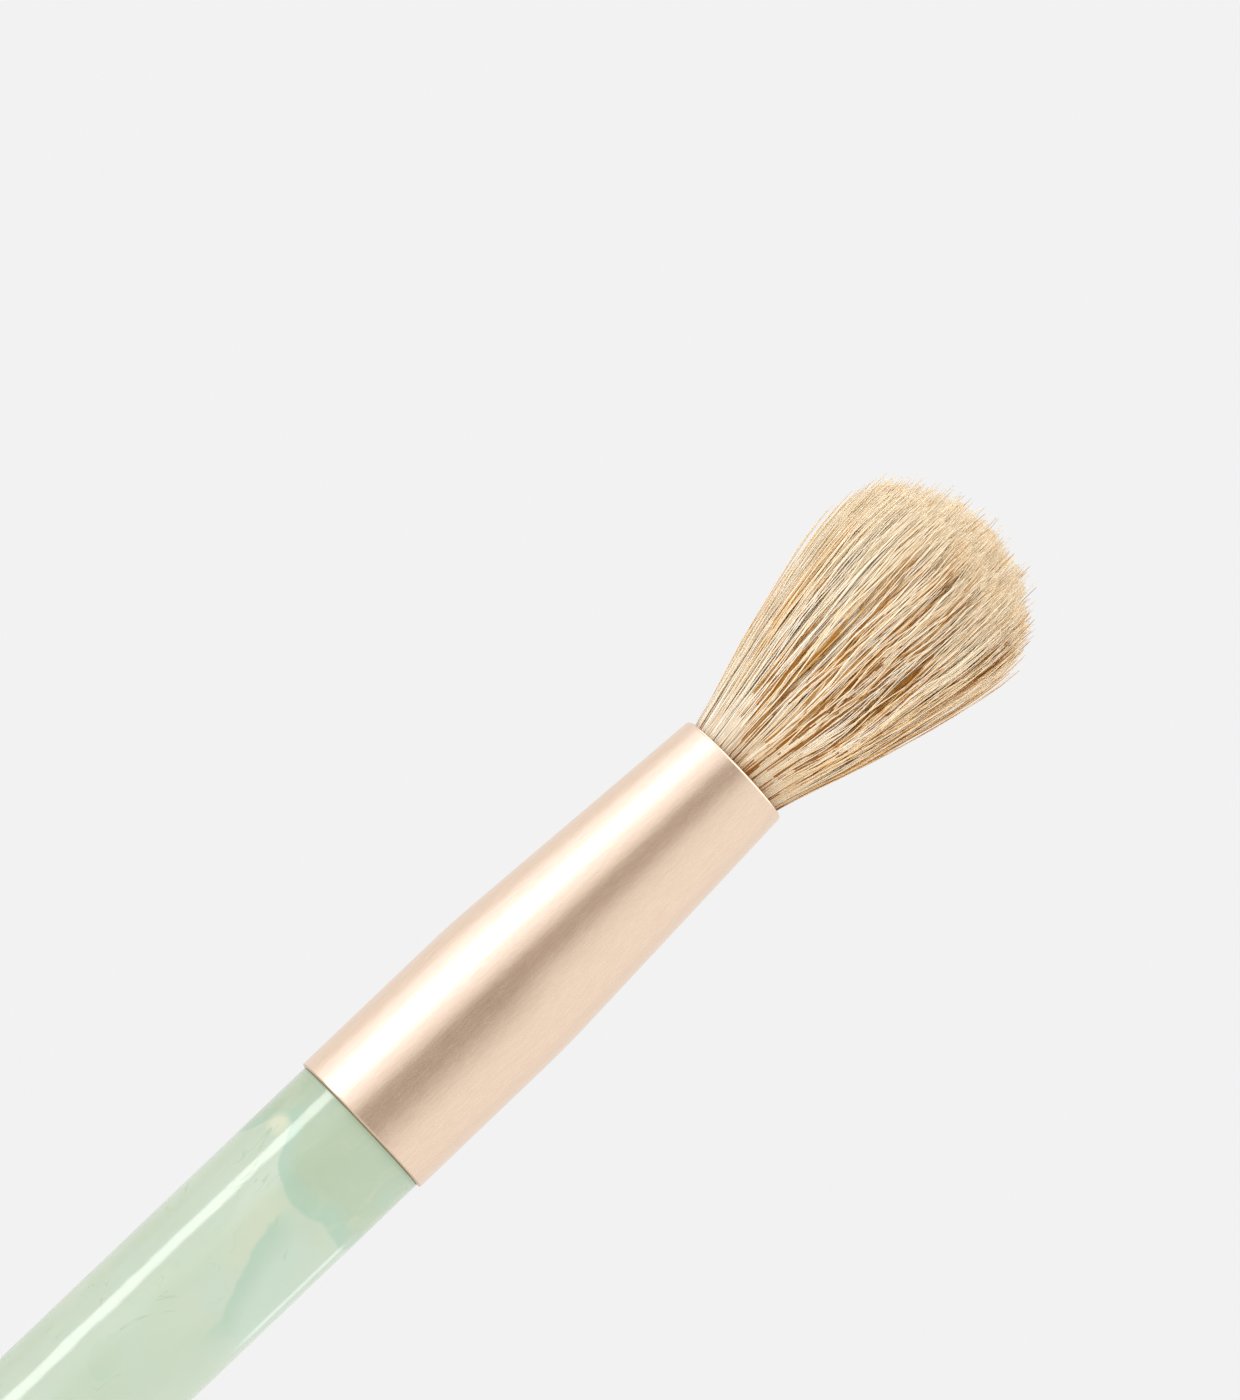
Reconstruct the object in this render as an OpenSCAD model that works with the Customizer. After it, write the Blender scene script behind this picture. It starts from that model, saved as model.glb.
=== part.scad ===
// Eyeshadow blending brush: a marbled resin handle, a drawn metal ferrule and a flared
// tuft of natural hair. The brush stands on its tail, with its axis along +Z.
// All sizes are in millimetres.

/* [Handle] */
// Diameter of the straight grip
grip_d = 7.6; // [6:0.1:10]
// Length of the straight grip, up to the ferrule
grip_len = 72; // [40:1:100]
// Length of the slow taper between the grip and the rounded tail
taper_len = 44; // [20:1:70]
// Diameter where the rounded tail starts
tail_d = 6.2; // [4:0.1:7.6]
// Height of the rounded tail
tail_dome = 3; // [1:0.1:5]
// Rounding of the grip's edge at the shoulder
shoulder_round = 0.06; // [0.02:0.01:0.07]

/* [Tenon] */
// How far the shoulder steps in from the grip to the tenon
shoulder_step = 0.26; // [0.24:0.01:0.4]
// How far the tenon's end stays below the start of the ferrule's cone
tenon_end_gap = 0.6; // [0.2:0.1:2]
// Chamfer on the tenon's end
tenon_chamfer = 0.5; // [0.2:0.1:1]
// Number of glue grooves round the tenon
groove_count = 3; // [1:1:4]
// Width of a glue groove
groove_w = 0.7; // [0.3:0.1:1]
// Depth of a glue groove
groove_depth = 0.3; // [0.1:0.05:0.6]
// Thickness of the glue between the tenon and the ferrule
glue_gap = 0.1; // [0.05:0.01:0.1]

/* [Ferrule] */
// Length of the ferrule
ferrule_len = 24.3; // [22:0.1:34]
// Wall of the ferrule
ferrule_wall = 0.34; // [0.24:0.02:0.5]
// Outer diameter at the mouth, where the bristles come out
mouth_d = 6.28; // [5:0.02:7.4]
// Length of the straight base, to the middle of its blend into the cone
base_len = 9.6; // [8:0.1:10.4]
// Length of the soft blend between the straight base and the cone
blend_len = 3; // [1:0.1:4]
// Rounding of the outer edge at the mouth
rim_round = 0.16; // [0.06:0.02:0.18]
// Rounding of the inner edge at the mouth
lip_round = 0.05; // [0.02:0.01:0.06]
// Rounding of the outer edge at the base
foot_round = 0.1; // [0.04:0.02:0.14]

/* [Bristles] */
// Length of the bristles beyond the mouth
bristle_len = 16.7; // [10:0.1:24]
// Diameter of the tuft at its widest
tuft_d = 11.8; // [8:0.1:16]
// Number of strands
strand_count = 350; // [300:10:420]
// Clearance between the outer strands and the ferrule's bore
strand_clear = 0.05; // [0.02:0.01:0.1]
// Length of the roots bonded inside the ferrule
root_len = 11; // [9:0.1:11.6]
// Diameter of the roots at their lower end
root_d = 4.7; // [3.6:0.1:5]

/* [Root tie and plug] */
// Width of the thread band tied round the roots
tie_w = 1.4; // [0.6:0.1:2]
// Thickness of the thread band
tie_t = 0.28; // [0.1:0.02:0.4]
// Distance of the band from the lower end of the roots
tie_up = 1.2; // [0.6:0.1:2]
// Depth of cured glue under the roots
plug_floor = 1; // [0.4:0.1:1.4]
// Depth of the plug's top below the mouth
plug_depth = 5; // [3:0.1:5.6]

/* [Hidden] */
$fn = 96;

// Radii and heights that the pieces share
grip_r = grip_d / 2;
tail_r = tail_d / 2;
tenon_r = grip_r - shoulder_step;
bore_r = tenon_r + glue_gap;
foot_r = bore_r + ferrule_wall;
rim_r = mouth_d / 2;
mouth_bore_r = rim_r - ferrule_wall;
foot_z = tail_dome + taper_len + grip_len;
mouth_z = foot_z + ferrule_len;
cone_z = foot_z + base_len;
tenon_len = base_len - blend_len / 2 - tenon_end_gap;
tenon_z = foot_z + tenon_len;
root_z = mouth_z - root_len;
tie_z = root_z + tie_up;
plug_z = root_z - plug_floor;
plug_top_z = mouth_z - plug_depth;

// Steps along the curved stretches of the outlines
dome_steps = 14;
taper_steps = 12;
blend_steps = 8;
round_steps = 5;

// The handle: a rounded tail, a slow taper, the straight grip and the grooved tenon
function dome_outline() = [
    for (i = [0 : dome_steps])
        let (a = 90 * i / dome_steps)
            [tail_r * sin(a), tail_dome * (1 - cos(a))]
];

function taper_outline() = [
    for (i = [1 : taper_steps])
        let (share = i / taper_steps)
            [tail_r + (grip_r - tail_r) * (1 - cos(180 * share)) / 2,
             tail_dome + taper_len * share]
];

function shoulder_outline() = [
    for (i = [0 : round_steps])
        let (a = 90 * i / round_steps)
            [grip_r - shoulder_round * (1 - cos(a)),
             foot_z - shoulder_round * (1 - sin(a))]
];

// The grooves are spread evenly over the tenon's straight length
groove_pitch = (tenon_len - tenon_chamfer) / (groove_count + 1);
groove_floor_r = tenon_r - groove_depth;

function groove_outline() = [
    for (i = [1 : groove_count])
        let (z = foot_z + groove_pitch * i)
            each [[tenon_r, z - groove_w / 2],
                  [groove_floor_r, z - groove_w / 2],
                  [groove_floor_r, z + groove_w / 2],
                  [tenon_r, z + groove_w / 2]]
];

module handle() {
    color([0.72, 0.82, 0.69])
    rotate_extrude()
    polygon(concat(
        dome_outline(),
        taper_outline(),
        shoulder_outline(),
        [[tenon_r, foot_z]],
        groove_outline(),
        [[tenon_r, tenon_z - tenon_chamfer],
         [tenon_r - tenon_chamfer, tenon_z],
         [0, tenon_z]]
    ));
}

// The glue: a thin sleeve between the tenon and the bore that also fills the grooves
module tenon_glue() {
    color([0.93, 0.9, 0.78])
    rotate_extrude()
    polygon(concat(
        [[bore_r, foot_z], [tenon_r, foot_z]],
        groove_outline(),
        [[tenon_r, tenon_z - tenon_chamfer],
         [bore_r, tenon_z - tenon_chamfer]]
    ));
}

// The ferrule's wall runs straight, then turns softly into a cone. A height's run is how
// far along the cone it lies, and the run grows from nothing over the blend.
cone_slope = (foot_r - rim_r) / (mouth_z - cone_z);
blend_from_z = cone_z - blend_len / 2;
blend_to_z = cone_z + blend_len / 2;

function cone_run(z) =
    z <= blend_from_z ? 0 :
    z >= blend_to_z ? z - cone_z :
    pow(z - blend_from_z, 2) / (2 * blend_len);

function outer_r(z) = foot_r - cone_slope * cone_run(z);

function inner_r(z) = outer_r(z) - ferrule_wall;

// Heights from one end to the other, with each step of the blend that lies between
function wall_heights(from_z, to_z) = concat(
    [from_z],
    [for (i = [0 : blend_steps])
        let (z = blend_from_z + blend_len * i / blend_steps)
            if (z > from_z && z < to_z) z],
    [to_z]
);

function outer_wall(from_z, to_z) = [for (z = wall_heights(from_z, to_z)) [outer_r(z), z]];

function inner_wall(from_z, to_z) = [for (z = wall_heights(from_z, to_z)) [inner_r(z), z]];

function reversed(points) = [for (i = [len(points) - 1 : -1 : 0]) points[i]];

// A quarter round about a centre, from one angle to the next
function round_at(centre_r, centre_z, radius, from_a) = [
    for (i = [0 : round_steps])
        let (a = from_a + 90 * i / round_steps)
            [centre_r + radius * cos(a), centre_z + radius * sin(a)]
];

module ferrule() {
    rim_outer_r = outer_r(mouth_z - rim_round);
    lip_inner_r = inner_r(mouth_z - lip_round);
    color([0.91, 0.78, 0.66])
    rotate_extrude()
    polygon(concat(
        round_at(foot_r - foot_round, foot_z + foot_round, foot_round, -90),
        outer_wall(foot_z + foot_round * 2, mouth_z - rim_round * 2),
        round_at(rim_outer_r - rim_round, mouth_z - rim_round, rim_round, 0),
        round_at(lip_inner_r + lip_round, mouth_z - lip_round, lip_round, 90),
        reversed(inner_wall(foot_z, mouth_z - lip_round * 2))
    ));
}

// The root plug: cured glue between the roots and the bore, closed under the roots. Inside
// it are the roots, with the thread band tied round them.
root_r = root_d / 2;
tie_r = root_r + tie_t;
tie_top_z = tie_z + tie_w;

// Outline of the roots from their lower end up to where they fill the bore
function root_outline() = [
    [root_r, root_z],
    [root_r, tie_top_z],
    [inner_r(plug_top_z), plug_top_z]
];

// The same outline with the thread band on it
function tied_outline() = [
    [root_r, root_z],
    [root_r, tie_z],
    [tie_r, tie_z],
    [tie_r, tie_top_z],
    [root_r, tie_top_z],
    [inner_r(plug_top_z), plug_top_z]
];

module root_plug() {
    color([0.86, 0.76, 0.5])
    rotate_extrude()
    polygon(concat(
        [[0, plug_z]],
        inner_wall(plug_z, plug_top_z),
        reversed(tied_outline()),
        [[0, root_z]]
    ));
}

// The root tie: a band of thread wound round the roots
module root_tie() {
    color([0.95, 0.94, 0.9])
    rotate_extrude()
    polygon([
        [root_r, tie_z],
        [tie_r, tie_z],
        [tie_r, tie_top_z],
        [root_r, tie_top_z]
    ]);
}

// The bristles: three-sided strands that rise from the bonded roots at the mouth. They
// stand in a sunflower pattern and spread alike at each height, so none meets another.
golden_angle = 180 * (3 - sqrt(5));
// How far the first strand stands off the middle, as a share of a strand's place
centre_share = 0.5;
// Share of the spacing that a strand's half width takes at its root, middle and tip
root_width_share = 0.7;
body_width_share = 0.66;
tip_width_share = 0.3;
// A strand leans out evenly up to its knee, at this share of the bristle length
knee_share = 0.6;
// How far the tuft has spread at the knee, as a share of its whole spread
knee_spread_share = 0.9;
// Share of the bristle length that the rounded top takes
dome_share = 0.26;
// How unevenly the strands are cut, as a share of their length
uneven_share = 0.035;
strand_seed = 21;
// Depth of a strand's foot inside the bonded roots, and how far the foot is turned there
strand_sink = 3;
foot_turn = 30;
// Sides of the bonded roots
root_sides = 32;

uneven = rands(0, uneven_share, strand_count, strand_seed);
// The widest place is where the outermost strands end, allowing for the uneven cut
widest_share = (1 - dome_share) * (1 - uneven_share / 2);
neck_r = (mouth_bore_r - strand_clear) / (1 + root_width_share / sqrt(strand_count));
spacing = neck_r / sqrt(strand_count);
belly_r = tuft_d / 2 / (1 + body_width_share / sqrt(strand_count));

// Spread at a share of the bristle length, along one line below the knee and one above
function spread_at(share) =
    share < knee_share
    ? knee_spread_share * share / knee_share
    : knee_spread_share + (1 - knee_spread_share) * (share - knee_share) / (widest_share - knee_share);

function scale_at(share) = (neck_r + (belly_r - neck_r) * spread_at(share)) / neck_r;

// Height at which a strand ends: the rounded top, cut a little unevenly round the first one
function tip_share(i) =
    (1 - dome_share * (1 - sqrt(1 - i / (strand_count - 1)))) * (i == 0 ? 1 : 1 - uneven[i]);

// One three-cornered ring of a strand at a share of the bristle length
function strand_ring(i, share, width_share, turn) =
    let (
        grow = scale_at(share),
        a = golden_angle * i,
        r = spacing * sqrt(i + centre_share) * grow,
        half = spacing * width_share * grow
    )
    [for (corner = [0 : 2])
        let (b = a + turn + 120 * corner)
            [r * cos(a) + half * cos(b),
             r * sin(a) + half * sin(b),
             mouth_z + bristle_len * share]];

function strand_points(i) = concat(
    strand_ring(i, -strand_sink / bristle_len, root_width_share, foot_turn),
    strand_ring(i, knee_share, body_width_share, 0),
    strand_ring(i, tip_share(i), tip_width_share, 0)
);

// Faces of one strand, whose nine points start at number n
function strand_faces(n) = concat(
    [[n, n + 1, n + 2], [n + 8, n + 7, n + 6]],
    [for (ring = [0 : 1], corner = [0 : 2])
        let (
            a = n + ring * 3 + corner,
            b = n + ring * 3 + (corner + 1) % 3
        )
        each [[a, a + 3, b], [b, a + 3, b + 3]]]
);

module strands() {
    polyhedron(
        points = [for (i = [0 : strand_count - 1]) each strand_points(i)],
        faces = [for (i = [0 : strand_count - 1]) each strand_faces(9 * i)]
    );
}

// Strands and roots are one piece, as tall as the roots and the bristles together
module bristle_tuft() {
    color([0.89, 0.8, 0.63])
    resize([0, 0, root_len + bristle_len])
    union() {
        rotate_extrude($fn = root_sides)
        polygon(concat(
            [[0, root_z]],
            root_outline(),
            [[inner_r(mouth_z), mouth_z],
             [0, mouth_z]]
        ));
        strands();
    }
}

handle();
tenon_glue();
ferrule();
root_plug();
root_tie();
bristle_tuft();
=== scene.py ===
# Eyeshadow blending brush: marbled resin handle, satin ferrule, natural hair tuft.
# Metres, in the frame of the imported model: the brush stands on its tail along +Z.
import math

import bpy
import numpy as np
from mathutils import Matrix, Vector


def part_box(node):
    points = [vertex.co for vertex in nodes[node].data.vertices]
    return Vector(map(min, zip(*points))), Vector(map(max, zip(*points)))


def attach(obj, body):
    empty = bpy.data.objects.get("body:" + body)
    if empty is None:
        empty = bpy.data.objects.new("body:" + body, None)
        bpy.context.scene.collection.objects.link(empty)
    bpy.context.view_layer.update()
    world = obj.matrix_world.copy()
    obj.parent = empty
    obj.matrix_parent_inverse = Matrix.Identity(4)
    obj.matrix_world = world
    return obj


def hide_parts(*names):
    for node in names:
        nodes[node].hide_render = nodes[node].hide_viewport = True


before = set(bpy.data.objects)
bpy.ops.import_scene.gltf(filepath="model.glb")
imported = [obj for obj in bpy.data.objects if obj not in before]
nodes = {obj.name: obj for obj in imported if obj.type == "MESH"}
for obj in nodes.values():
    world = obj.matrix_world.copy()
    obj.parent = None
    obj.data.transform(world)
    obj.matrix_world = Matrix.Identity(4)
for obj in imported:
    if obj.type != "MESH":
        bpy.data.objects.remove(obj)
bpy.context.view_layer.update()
mm = 0.001

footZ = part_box("ferrule")[0].z
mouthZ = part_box("ferrule")[1].z
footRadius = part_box("ferrule")[1].x
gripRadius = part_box("handle")[1].x
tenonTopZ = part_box("handle")[1].z
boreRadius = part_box("tenon_glue")[1].x
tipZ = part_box("bristle_tuft")[1].z
bristleLength = tipZ - mouthZ
print("frame loaded, brush is", round(tipZ / mm, 1), "mm tall")


# small helpers for node trees
def addNode(tree, kind, inputs=None, **settings):
    node = tree.nodes.new(kind)
    for name, value in settings.items():
        setattr(node, name, value)
    for name, value in (inputs or {}).items():
        if isinstance(value, bpy.types.NodeSocket):
            tree.links.new(value, node.inputs[name])
        else:
            node.inputs[name].default_value = value
    return node


def calc(tree, operation, a, b=0.0, clamp=False):
    node = addNode(tree, "ShaderNodeMath", {0: a, 1: b}, operation=operation, use_clamp=clamp)
    return node.outputs[0]


def plus(tree, a, b):
    return calc(tree, "ADD", a, b)


def minus(tree, a, b):
    return calc(tree, "SUBTRACT", a, b)


def times(tree, a, b):
    return calc(tree, "MULTIPLY", a, b)


def gapTo(tree, value, target):
    return calc(tree, "ABSOLUTE", minus(tree, value, target))


def ease(tree, value, start, end):
    # 0 before start, 1 after end, smooth between; start may be the larger
    inputs = {0: value, 1: start, 2: end}
    return addNode(tree, "ShaderNodeMapRange", inputs, interpolation_type="SMOOTHSTEP").outputs[0]


def spread(tree, value, low, high):
    # 0 to 1 laid out evenly from low to high
    return addNode(tree, "ShaderNodeMapRange", {0: value, 3: low, 4: high}).outputs[0]


def mixColour(tree, factor, a, b, mode="MIX"):
    node = addNode(tree, "ShaderNodeMix", data_type="RGBA", blend_type=mode)
    for index, value in ((0, factor), (6, a), (7, b)):
        if isinstance(value, bpy.types.NodeSocket):
            tree.links.new(value, node.inputs[index])
        else:
            node.inputs[index].default_value = value if index == 0 else (*value, 1)
    return node.outputs[2]


def blend(tree, amount, strength, under, over):
    return mixColour(tree, times(tree, amount, strength), under, over)


def scaleBy(tree, place, factors):
    inputs = {0: place, 1: factors}
    return addNode(tree, "ShaderNodeVectorMath", inputs, operation="MULTIPLY").outputs[0]


def placeInMm(tree, squeeze=1):
    # a squeeze under 1 draws whatever follows out along the brush
    place = addNode(tree, "ShaderNodeTexCoord").outputs["Object"]
    return scaleBy(tree, place, (1 / mm, 1 / mm, squeeze / mm))


def distanceTo(tree, place, point):
    node = addNode(tree, "ShaderNodeVectorMath", {0: place, 1: point}, operation="DISTANCE")
    return node.outputs["Value"]


def splitAxes(tree, vector):
    parts = addNode(tree, "ShaderNodeSeparateXYZ", {0: vector})
    return parts.outputs["X"], parts.outputs["Y"], parts.outputs["Z"]


def angleRound(tree, x, y):
    # the way round the brush, counted from the camera's side
    return calc(tree, "ARCTAN2", x, times(tree, y, -1))


def noise(tree, place, scale, detail=2.0, rough=0.5, warp=0.0):
    inputs = {"Vector": place, "Scale": scale, "Detail": detail}
    inputs |= {"Roughness": rough, "Distortion": warp}
    return addNode(tree, "ShaderNodeTexNoise", inputs).outputs["Fac"]


def field(tree, settings):
    # noise over the piece: its squeeze, scale, detail, roughness and warp
    squeeze, *rest = settings
    return noise(tree, placeInMm(tree, squeeze), *rest)


def newMaterial(name):
    material = bpy.data.materials.new(name)
    material.use_nodes = True
    tree = material.node_tree
    return material, tree, tree.nodes["Principled BSDF"]


def dress(tree, shader, colour, roughness, height, strength, depth):
    tree.links.new(colour, shader.inputs["Base Color"])
    tree.links.new(roughness, shader.inputs["Roughness"])
    inputs = {"Height": height, "Strength": strength, "Distance": depth}
    bump = addNode(tree, "ShaderNodeBump", inputs)
    tree.links.new(bump.outputs[0], shader.inputs["Normal"])


def finishPiece(piece, material, slot, *replaced):
    piece.data.materials.clear()
    piece.data.materials.append(material)
    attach(piece, "root")
    if replaced:
        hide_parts(*replaced)


# camera, looking up the brush a little so that its mouth bows towards the tip
cameraSetup = {
    "distance": 0.38,
    "tilt": math.radians(5),
    "lean": math.radians(43.6),
    "aimAboveFoot": 0.02265,
    "aimAside": -0.00609,
    "lens": 207.4,
    "clipStart": 0.01,
}


def makeCamera():
    c = cameraSetup
    look = Vector((0, math.cos(c["tilt"]), math.sin(c["tilt"])))
    across = Vector((1, 0, 0))
    along = across.cross(look)
    right = math.cos(c["lean"]) * along + math.sin(c["lean"]) * across
    up = right.cross(look)
    aim = Vector((0, 0, footZ + c["aimAboveFoot"])) + c["aimAside"] * across
    turn = Matrix((right, up, -look)).transposed().to_4x4()
    data = bpy.data.cameras.new("camera")
    data.lens = c["lens"]
    data.clip_start = c["clipStart"]
    camera = bpy.data.objects.new("camera", data)
    camera.matrix_world = Matrix.Translation(aim - look * c["distance"]) @ turn
    bpy.context.scene.collection.objects.link(camera)
    bpy.context.scene.camera = camera


makeCamera()
print("camera set")

# light: an even pale room with a brighter wall on the left and a light ceiling,
# one upright softbox before that wall, and a darker gap behind the camera
lightSetup = {
    "room": (0.93, 0.93, 0.93),
    "back": (0.87, 0.87, 0.87),
    "wall": (1.25, 1.29, 1.4),
    "gap": (0.34, 0.29, 0.245),
    "gapAbove": (0.42, 0.37, 0.33),
    "ceiling": (2.3, 2.3, 2.3),
    "backdrop": (0.888, 0.888, 0.888),
    "backFrom": math.radians(118),
    "wallTurn": math.radians(-71),
    "wallHalfWidth": math.radians(36.5),
    "softEdge": math.radians(13),
    "gapLeft": (math.radians(-27), math.radians(-13)),
    "gapRight": (math.radians(68), math.radians(8)),
    "gapRightAbove": (math.radians(34), math.radians(0)),
    # heights as the rise of the direction looked in, 1 straight up
    "wallRise": (0.3, 0.2),
    "gapRise": (0.4, 0.25),
    "aboveRise": (0.07, 0.17),
    "ceilingRise": (0.5, 0.8),
    "boxTurn": math.radians(-67),
    "boxDistance": 0.6,
    "boxAboveFoot": 0.016,
    "boxWidth": 0.18,
    "boxHeight": 0.2,
    "boxLevel": 4.6,
}


def makeRoom():
    s = lightSetup
    scene = bpy.context.scene
    scene.view_settings.view_transform = "Standard"
    world = bpy.data.worlds.new("room")
    scene.world = world
    world.use_nodes = True
    tree = world.node_tree
    x, y, rise = splitAxes(tree, addNode(tree, "ShaderNodeTexCoord").outputs["Generated"])
    angle = angleRound(tree, x, y)
    edge = s["softEdge"] / 2
    turned = calc(tree, "ABSOLUTE", angle)
    behind = ease(tree, turned, s["backFrom"] - edge, s["backFrom"] + edge)
    colour = mixColour(tree, behind, s["room"], s["back"])

    fromWall = gapTo(tree, angle, s["wallTurn"])
    onWall = ease(tree, fromWall, s["wallHalfWidth"] + edge, s["wallHalfWidth"] - edge)
    fromLevel = calc(tree, "ABSOLUTE", rise)
    onWall = times(tree, onWall, ease(tree, fromLevel, *s["wallRise"]))
    colour = mixColour(tree, onWall, colour, s["wall"])

    # the gap ends slowly on its right, and is narrower and paler higher up
    above = ease(tree, rise, *s["aboveRise"])
    rightBelow = times(tree, ease(tree, angle, *s["gapRight"]), minus(tree, 1, above))
    rightAbove = times(tree, ease(tree, angle, *s["gapRightAbove"]), above)
    inGap = times(tree, ease(tree, angle, *s["gapLeft"]), plus(tree, rightBelow, rightAbove))
    inGap = times(tree, inGap, ease(tree, fromLevel, *s["gapRise"]))
    colour = mixColour(tree, inGap, colour, mixColour(tree, above, s["gap"], s["gapAbove"]))
    colour = mixColour(tree, ease(tree, rise, *s["ceilingRise"]), colour, s["ceiling"])
    seen = addNode(tree, "ShaderNodeLightPath").outputs["Is Camera Ray"]
    colour = mixColour(tree, seen, colour, s["backdrop"])
    tree.links.new(colour, tree.nodes["Background"].inputs["Color"])

    data = bpy.data.lights.new("softbox", "AREA")
    data.shape = "RECTANGLE"
    data.size, data.size_y = s["boxWidth"], s["boxHeight"]
    data.energy = s["boxLevel"] * math.pi * data.size * data.size_y
    box = bpy.data.objects.new("softbox", data)
    towards = Vector((math.sin(s["boxTurn"]), -math.cos(s["boxTurn"]), 0))
    box.location = Vector((0, 0, footZ + s["boxAboveFoot"])) + towards * s["boxDistance"]
    box.rotation_euler = towards.to_track_quat("Z", "Y").to_euler()
    box.visible_camera = False
    scene.collection.objects.link(box)
    return box


# floor, toned down where it is looked at, so that it meets the backdrop, and in reflections
floorSetup = {
    "half": 1.6,
    "lit": (0.8, 0.8, 0.8),
    "mirrored": (0.5, 0.5, 0.5),
    "seen": (0.53, 0.53, 0.53),
    "roughness": 0.9,
}


def makeFloor():
    s = floorSetup
    half = s["half"]
    mesh = bpy.data.meshes.new("floor")
    corners = [(-half, -half, 0), (half, -half, 0), (half, half, 0), (-half, half, 0)]
    mesh.from_pydata(corners, [], [(0, 1, 2, 3)])
    floor = bpy.data.objects.new("floor", mesh)
    bpy.context.scene.collection.objects.link(floor)
    material, tree, shader = newMaterial("pale_floor")
    path = addNode(tree, "ShaderNodeLightPath")
    colour = mixColour(tree, path.outputs["Is Glossy Ray"], s["lit"], s["mirrored"])
    colour = mixColour(tree, path.outputs["Is Camera Ray"], colour, s["seen"])
    tree.links.new(colour, shader.inputs["Base Color"])
    shader.inputs["Roughness"].default_value = s["roughness"]
    shader.inputs["Specular IOR Level"].default_value = 0.0
    mesh.materials.append(material)
    return floor


def keepOff(box, floor):
    # the softbox stands close to the floor, and its glare there isn't wanted
    unlit = bpy.data.collections.new("off_softbox")
    unlit.objects.link(floor)
    box.light_linking.receiver_collection = unlit
    unlit.collection_objects[0].light_linking.link_state = "EXCLUDE"


keepOff(makeRoom(), makeFloor())
print("room and floor made")


# turned parts: a profile of (radius, height) points spun round the axis
def turnedPiece(name, profile, closed=False, lengths=1, around=256, crease=math.radians(35)):
    rows = []
    points = []
    for radius, height in profile:
        if radius < 0.0001 * mm:    # a pole on the axis
            rows.append([len(points)])
            points.append((0, 0, height))
        else:
            rows.append(list(range(len(points), len(points) + around)))
            for j in range(around):
                a = 2 * math.pi * j / around
                points.append((radius * math.sin(a), radius * math.cos(a), height))
    run = [0.0]
    for (r0, z0), (r1, z1) in zip(profile, profile[1:] + profile[:1]):
        run.append(run[-1] + math.hypot(r1 - r0, z1 - z0))
    total = run[-1] if closed else run[-2]
    faces, places = [], []
    for i in range(len(profile) if closed else len(profile) - 1):
        low, high = rows[i], rows[(i + 1) % len(profile)]
        # the unrolled surface lies on its map in a few lengths, side by side
        band = min(int((run[i] + run[i + 1]) / 2 / total * lengths), lengths - 1)
        v0, v1 = (run[i] / total * lengths - band, run[i + 1] / total * lengths - band)
        for j in range(around):
            k = (j + 1) % around
            u0, u1 = (j / around + band) / lengths, ((j + 1) / around + band) / lengths
            if len(low) == 1:
                faces.append((low[0], high[k], high[j]))
                places += [(u0, v0), (u1, v1), (u0, v1)]
            elif len(high) == 1:
                faces.append((low[j], low[k], high[0]))
                places += [(u0, v0), (u1, v0), (u0, v1)]
            else:
                faces.append((low[j], low[k], high[k], high[j]))
                places += [(u0, v0), (u1, v0), (u1, v1), (u0, v1)]
    mesh = bpy.data.meshes.new(name)
    mesh.from_pydata(points, [], faces)
    layer = mesh.uv_layers.new(name="OFBake")
    layer.data.foreach_set("uv", np.clip(np.array(places, np.float32), 0, 1).ravel())
    mesh.polygons.foreach_set("use_smooth", [True] * len(faces))
    mesh.set_sharp_from_angle(angle=crease)
    mesh.flip_normals()
    piece = bpy.data.objects.new(name, mesh)
    bpy.context.scene.collection.objects.link(piece)
    return piece


def roundCorner(profile, centreR, centreZ, radius, fromDegrees, steps=8):
    for i in range(steps + 1):
        a = math.radians(fromDegrees + 90 * i / steps)
        profile.append((centreR + radius * math.cos(a), centreZ + radius * math.sin(a)))


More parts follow.
